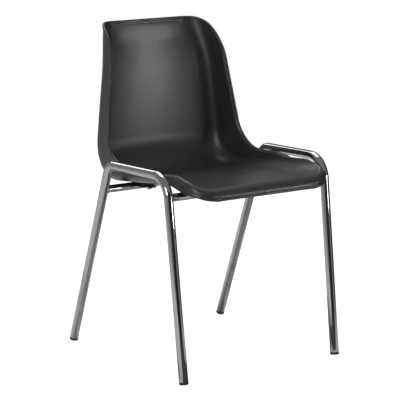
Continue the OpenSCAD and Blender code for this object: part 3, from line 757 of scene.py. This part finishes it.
def cross_tube(cross, foot, top, steps=96):
    """A tube across the chair with its bore, its ends cut to the round of the hoops.

    Four saddle lines are joined in a ring: outside left, outside right, bore right, bore left.
    """
    right = saddle(cross, foot, top, CROSS_R, -CROSS_SINK, steps)
    right_bore = saddle(cross, foot, top, CROSS_R - TUBE_WALL, -CROSS_SINK, steps)
    flip = np.array([-1, 1, 1])
    points = np.stack([right * flip, right, right_bore, right_bore * flip, right * flip])
    return points.reshape(-1, 3), grid_quads(len(points), steps, wrap=True)


def on_hoop_beside(points, cross, foot, top, reach):
    """Points of the leg's surface, reach away from given ones, away from the cross tube's axis.

    The leg's surface is unrolled: a point is (R phi, s), phi the angle round the leg from the
    side that faces the cross tube and s the length along it; the step goes along
    (R phi, s - s_axis).
    """
    u = unit(top - foot)
    e1 = unit(np.array([-1, 0, 0]) + u[0] * u)
    e2 = np.cross(u, e1)
    from_foot = points - foot
    phi = np.arctan2(from_foot @ e2, from_foot @ e1)
    s = from_foot @ u
    step = unit(np.stack([TUBE_R * phi, s - (cross - foot) @ u], -1)) * reach
    phi, s = phi + step[:, 0] / TUBE_R, s + step[:, 1]
    radial = np.cos(phi)[:, None] * e1 + np.sin(phi)[:, None] * e2
    return foot + s[:, None] * u + (TUBE_R - WELD_SINK) * radial


def weld(cross, foot, top, side, steps=156, across=9):
    """The weld round a cross tube's end, a rounded fillet between the two tubes.

    A curve runs from a place WELD_LEG along the cross tube, past the saddle line, to a place
    WELD_LEG away from it on the hoop: (1-t)^2 A + 2 t (1-t) C + t^2 B, C the saddle pushed
    out a little, with low ripples round the tube.
    """
    on_saddle = saddle(cross, foot, top, CROSS_R, 0, steps)
    on_hoop = on_hoop_beside(on_saddle, cross, foot, top, WELD_LEG)
    w = 2 * np.pi * np.arange(steps) / steps
    ripple = WELD_RIPPLE * (1 + np.cos(WELD_LUMPS * w))[:, None]
    radial = np.stack([0 * w, np.cos(w), np.sin(w)], -1)
    to_hoop = np.array([1, 0, 0])
    on_cross = on_saddle - to_hoop * WELD_LEG - radial * WELD_SINK
    middle = on_saddle + unit(radial - to_hoop) * (WELD_BULGE + ripple)
    t = np.linspace(0, 1, across)[:, None, None]
    points = (1 - t) ** 2 * on_cross + 2 * t * (1 - t) * middle + t ** 2 * on_hoop
    inner = on_saddle + (to_hoop - radial) * WELD_ROOT
    points = np.concatenate([points, inner[None], points[:1]])
    return on_side(points, grid_quads(len(points), steps, wrap=True), side)


def glide(foot, top, side, steps=64):
    """A flanged plug turned about the leg's line, its lower face held at z = 0 or above."""
    base, u = leg_end(foot, top)
    plug_r = TUBE_R - TUBE_WALL - PLUG_PLAY
    plug_end = FLANGE_T + PLUG_L
    w = np.linspace(0, np.pi / 2, 7)[1:-1]
    corner = [(TUBE_R - GLIDE_ROUND * (1 - math.sin(a)), GLIDE_ROUND * (1 - math.cos(a))) for a in w]
    profile = ([(POLE_R, 0), (TUBE_R - GLIDE_ROUND, 0)] + corner
               + [(TUBE_R, GLIDE_ROUND), (TUBE_R, FLANGE_T), (plug_r, FLANGE_T),
                  (plug_r, plug_end), (POLE_R, plug_end)])
    points, quads = revolve(profile, base, u, steps)
    points[..., 2] = np.maximum(points[..., 2], 0)
    return on_side(points, quads, side)


# Materials

# Scales of the leather grain's cells and creases, and their depth
GRAIN_SCALE = 420.0
CREASE_SCALE = 230.0
GRAIN_DEPTH = 0.35 * MM
# Width of the groove round a cell, as a part of the cell, and its height beside the creases' 1
GRAIN_GROOVE = (0, 0.25)
GRAIN_SHARE = (0, 0.3)
# Range over which most noise lies
NOISE_RANGE = (0.35, 0.65)


def new_material(name):
    """A node material, its tree and its shader."""
    material = bpy.data.materials.new(name)
    material.use_nodes = True
    tree = material.node_tree
    return material, tree, tree.nodes["Principled BSDF"]


def add_node(tree, kind, inputs, **settings):
    """A node of a kind with its settings, and values or links for its inputs."""
    node = tree.nodes.new("ShaderNode" + kind)
    for key, value in settings.items():
        setattr(node, key, value)
    for key, value in inputs.items():
        if isinstance(value, bpy.types.NodeSocket):
            tree.links.new(value, node.inputs[key])
        else:
            node.inputs[key].default_value = value
    return node


def math_result(tree, operation, *values):
    """Result of a Math node."""
    return add_node(tree, "Math", dict(enumerate(values)), operation=operation).outputs[0]


def on_piece(tree):
    """The piece's own coordinates."""
    return add_node(tree, "TexCoord", {}).outputs["Object"]


def noise(tree, scale, detail):
    """Cloudy noise on the piece."""
    settings = {"Vector": on_piece(tree), "Scale": scale, "Detail": detail}
    return add_node(tree, "TexNoise", settings).outputs["Fac"]


def ranged(tree, value, before, after):
    """A value moved from one range to another."""
    ends = {"From Min": before[0], "From Max": before[1], "To Min": after[0], "To Max": after[1]}
    return add_node(tree, "MapRange", {"Value": value, **ends}).outputs["Result"]


def haze(tree, shader, value, roughness):
    """The shader's roughness, over a range that follows a noise."""
    tree.links.new(ranged(tree, value, NOISE_RANGE, roughness), shader.inputs["Roughness"])


def mottle(tree, shader, scale, detail, dark, light):
    """The shader's colour, from a dark to a light shade by noise."""
    shades = {"Fac": noise(tree, scale, detail), "Color1": (*dark, 1), "Color2": (*light, 1)}
    tree.links.new(add_node(tree, "MixRGB", shades).outputs["Color"], shader.inputs["Base Color"])


def shell_plastic():
    """Black polypropylene: fine leather grain of cells and creases, a little uneven in sheen."""
    material, tree, shader = new_material("shell_plastic")
    cells = add_node(tree, "TexVoronoi", {"Vector": on_piece(tree), "Scale": GRAIN_SCALE},
                     feature="DISTANCE_TO_EDGE")
    grain = ranged(tree, cells.outputs["Distance"], GRAIN_GROOVE, GRAIN_SHARE)
    creases = noise(tree, CREASE_SCALE, 2)
    height = math_result(tree, "ADD", creases, grain)
    bump = add_node(tree, "Bump", {"Height": height, "Strength": 0.45, "Distance": GRAIN_DEPTH})
    tree.links.new(bump.outputs["Normal"], shader.inputs["Normal"])
    haze(tree, shader, creases, (0.30, 0.46))
    mottle(tree, shader, 14, 4, (0.024, 0.024, 0.025), (0.031, 0.031, 0.033))
    return material


def chrome():
    """Bright chrome plate with a faint haze that varies over the tube."""
    material, tree, shader = new_material("chrome")
    shader.inputs["Metallic"].default_value = 1
    shader.inputs["Base Color"].default_value = (0.43, 0.43, 0.44, 1)
    haze(tree, shader, noise(tree, 30, 3), (0.04, 0.09))
    return material


def mottled_finish(name, metallic, roughness, scale, detail, dark, light):
    """A plain finish whose colour is faintly mottled."""
    material, tree, shader = new_material(name)
    shader.inputs["Metallic"].default_value = metallic
    shader.inputs["Roughness"].default_value = roughness
    mottle(tree, shader, scale, detail, dark, light)
    return material


def glide_plastic():
    """Smooth black polyethylene, a little scuffed."""
    return mottled_finish("glide_plastic", 0, 0.5, 220, 5, (0.010, 0.010, 0.010), (0.030, 0.030, 0.031))


def zinc():
    """Zinc-plated steel: pale grey."""
    return mottled_finish("zinc", 1, 0.3, 400, 4, (0.50, 0.50, 0.50), (0.62, 0.62, 0.60))


def brass():
    """Turned brass, slightly tarnished."""
    return mottled_finish("brass", 1, 0.28, 500, 4, (0.60, 0.43, 0.18), (0.75, 0.58, 0.28))


# Stage

# Light that the floor adds in what the camera sees, so that it looks white beside its shadow
FLOOR_LIFT = 0.74
# The same in mirrored light, near the chair's own lamps
MIRRORED_LIFT = 0.1
# Radii of the floor's eye and of its flat part, and height of its turned-up edge
FLOOR_EYE_R = 1 * MM
FLOOR_R = 14.0
BACKDROP_H = 7.0
# Height of the cloths over the floor
CLOTH_H = 3 * MM
WORLD_STRENGTH = 0.30


def toward(azimuth, elevation):
    """Unit vector at an azimuth from -Y towards +X and an elevation, in degrees."""
    a, e = math.radians(azimuth), math.radians(elevation)
    return Vector((math.sin(a) * math.cos(e), -math.cos(a) * math.cos(e), math.sin(e)))


def stand(name, data, place, back):
    """A camera or lamp at a place, with its back along a vector."""
    thing = bpy.data.objects.new(name, data)
    thing.location = place
    thing.rotation_euler = back.to_track_quat("Z", "Y").to_euler()
    bpy.context.scene.collection.objects.link(thing)
    return thing


def make_camera():
    """The photograph's camera, looking along its azimuth and elevation."""
    data = bpy.data.cameras.new("camera")
    data.lens = CAMERA_LENS
    data.sensor_width = CAMERA_SENSOR
    place = Vector(CAMERA_PLACE) + Vector((0, FEET_MID_Y, 0))
    back = toward(CAMERA_AZIMUTH, CAMERA_ELEVATION)
    bpy.context.scene.camera = stand("camera", data, place, back)


def make_world():
    """A soft grey light from all round."""
    world = bpy.data.worlds.new("studio")
    bpy.context.scene.world = world
    world.use_nodes = True
    background = world.node_tree.nodes["Background"]
    background.inputs["Color"].default_value = (1, 1, 1, 1)
    background.inputs["Strength"].default_value = WORLD_STRENGTH


def make_lamp(name, direction, distance, power, width, height=None, target=(0, 0, 0.5), spread=180):
    """A soft lamp, square or of its own height, at an azimuth and elevation from its target.

    spread is the angle of its beam in degrees, which a grid before it would set.
    """
    data = bpy.data.lights.new(name, "AREA")
    data.shape = "RECTANGLE"
    data.size = width
    data.size_y = height or width
    data.spread = math.radians(spread)
    data.energy = power
    place = Vector(target) + distance * toward(*direction)
    stand(name, data, place, place - Vector(target))


def make_lamps():
    """A large lamp overhead, low lamps from the rear and the left, and two small ones in front.

    The small ones have a grid: a strip for the sheen down the back, and one for the apron.
    """
    make_lamp("overhead_lamp", (165, 70), distance=2.6, power=36, width=1.8)
    make_lamp("strip_lamp", (33, 0), distance=1.35, power=0.14, width=0.25, height=0.36,
              target=(0, 0.22, 0.70), spread=25)
    make_lamp("rear_lamp", (185, 36), distance=2.6, power=6.5, width=0.9)
    make_lamp("apron_lamp", (36, 2), distance=1.0, power=0.07, width=0.3, height=0.2,
              target=(0.02, -0.25, 0.44), spread=24)
    make_lamp("left_lamp", (-60, 18), distance=2.6, power=19, width=0.9)


def floor_material():
    """Pale floor that keeps the shadow and looks near white to the camera.

    It adds the camera's rays * FLOOR_LIFT + the mirrored rays * MIRRORED_LIFT.
    """
    material, tree, shader = new_material("pale_floor")
    shader.inputs["Base Color"].default_value = (0.86, 0.86, 0.86, 1)
    shader.inputs["Roughness"].default_value = 0.9
    shader.inputs["Emission Color"].default_value = (1, 1, 1, 1)
    rays = add_node(tree, "LightPath", {})
    glossy, through = rays.outputs["Is Glossy Ray"], rays.outputs["Is Transmission Ray"]
    mirrored = math_result(tree, "MAXIMUM", glossy, through)
    seen = math_result(tree, "MULTIPLY", rays.outputs["Is Camera Ray"], FLOOR_LIFT)
    lift = math_result(tree, "MULTIPLY_ADD", mirrored, MIRRORED_LIFT, seen)
    tree.links.new(lift, shader.inputs["Emission Strength"])
    return material


def make_floor():
    """A wide flat floor at z = 0 whose edge turns up into a low backdrop all round.

    It is a surface of revolution: flat to FLOOR_R, then a quarter of an ellipse up to
    BACKDROP_H.
    """
    a = np.linspace(0, np.pi / 2, 13)
    rim = np.stack([FLOOR_R + BACKDROP_H * np.sin(a), BACKDROP_H * (1 - np.cos(a))], -1)
    profile = np.concatenate([[[FLOOR_EYE_R, 0]], rim])
    points, quads = revolve(profile, (0, 0, 0), steps=96)
    new_object("floor", points, quads, floor_material(), smooth=False)


def felt(name, shade):
    """Plain felt of one shade of grey."""
    material, _, shader = new_material(name)
    shader.inputs["Base Color"].default_value = (shade, shade, shade, 1)
    shader.inputs["Roughness"].default_value = 1
    return material


def make_flag(name, azimuth, half_angle, near, far, height, shade, centre=(0, 0)):
    """A screen that shows only in mirrored light: a cloth on the floor and a wall behind it.

    Seen from its centre it lies round an azimuth, from near to far along the floor, and then
    rises to its height.
    """
    w = np.radians(azimuth + half_angle * np.linspace(-1, 1, 17))
    out = np.stack([np.sin(w), -np.cos(w), 0 * w], -1)
    middle, up = np.array([*centre, 0]), np.array([0, 0, 1.0])
    points = middle + np.stack([out * near + up * CLOTH_H, out * far + up * CLOTH_H,
                                out * far + up * height])
    flag = new_object(name, points, grid_quads(3, len(w)), felt(name + "_felt", shade), smooth=False)
    flag.visible_camera = False
    flag.visible_diffuse = False
    flag.visible_shadow = False


def make_flags():
    """Two dark screens for the bands in the chrome, and by each rear leg a grey cloth: painted shade of
    the floor under the chair, seen in the leg.
    """
    make_flag("camera_flag", -12, 33, near=0.05, far=5.6, height=3.4, shade=0.10)
    make_flag("right_flag", 92, 45, near=1.2, far=2.6, height=2.6, shade=0.12)
    # Painted shade: these grey cloths show only in the rear legs' chrome, in place of the shaded floor
    # under the chair
    for side, name in SIDES:
        make_flag(name + "_leg_shade_flag", 38, 58, near=0.03, far=0.45, height=0.01, shade=0.52,
                  centre=(side * HOOP[3][0], HOOP[3][1]))


# The chair

def boss(x, y, plate_z):
    """A boss turned about its screw's line, from its plate into the pan's wall, with its bore."""
    spine = Line(SPINE)
    bottom = plate_z + PLATE_T / 2
    top = spine.along(spine.crossing(0, y))[1] - WALL / 2 + BOSS_ROOT
    bore_top = bottom + INSERT_L + BORE_SPARE
    profile = [(POLE_R, bore_top), (INSERT_R, bore_top), (INSERT_R, bottom),
               (BOSS_R, bottom), (BOSS_R, top), (POLE_R, top)]
    return revolve(profile, (x, y, 0))


def make_shell(material):
    """The moulded shell with its bosses."""
    front_y = FRONT_CROSS[1] + CROSS_R + SCREW_REACH
    rear_y = REAR_CROSS[1] - CROSS_R - SCREW_REACH
    bosses = [boss(side * FIXING_X, y, cross[2]) for side, _ in SIDES
              for y, cross in ((front_y, FRONT_CROSS), (rear_y, REAR_CROSS))]
    surface = joined([shell_body()] + bosses)
    make_piece("moulded_shell", surface, ["seat_shell"], material)


def make_frame(material):
    """Hoops, cross tubes and the welds between them."""
    for side, name in SIDES:
        make_piece(name + "_hoop", side_hoop(side), [name + "_side_hoop"], material)
    for end, cross, foot, top in LEGS:
        make_piece(end + "_cross_bar", cross_tube(cross, foot, top),
                   [end + "_cross_tube"], material)
        for side, name in SIDES:
            make_piece(f"{end}_{name}_weld", weld(cross, foot, top, side), [], material)


def make_glides(material):
    """The four black glides."""
    for end, _, foot, top in LEGS:
        for side, name in SIDES:
            node = f"{end}_{name}_glide"
            make_piece(node + "_plug", glide(foot, top, side), [node], material)


def finish_nodes(materials):
    """Materials for the CAD pieces that stay as they are."""
    for node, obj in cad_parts.items():
        for kind, material in materials.items():
            if node.endswith(kind):
                obj.data.materials.clear()
                obj.data.materials.append(material)


make_camera()
make_world()
make_lamps()
make_floor()
make_flags()
make_shell(shell_plastic())
chromed, zinc_plated = chrome(), zinc()
make_frame(chromed)
make_glides(glide_plastic())
finish_nodes({"fixing_plate": chromed, "screw": zinc_plated, "washer": zinc_plated,
              "threaded_insert": brass()})

bpy.context.scene.view_settings.view_transform = "Standard"
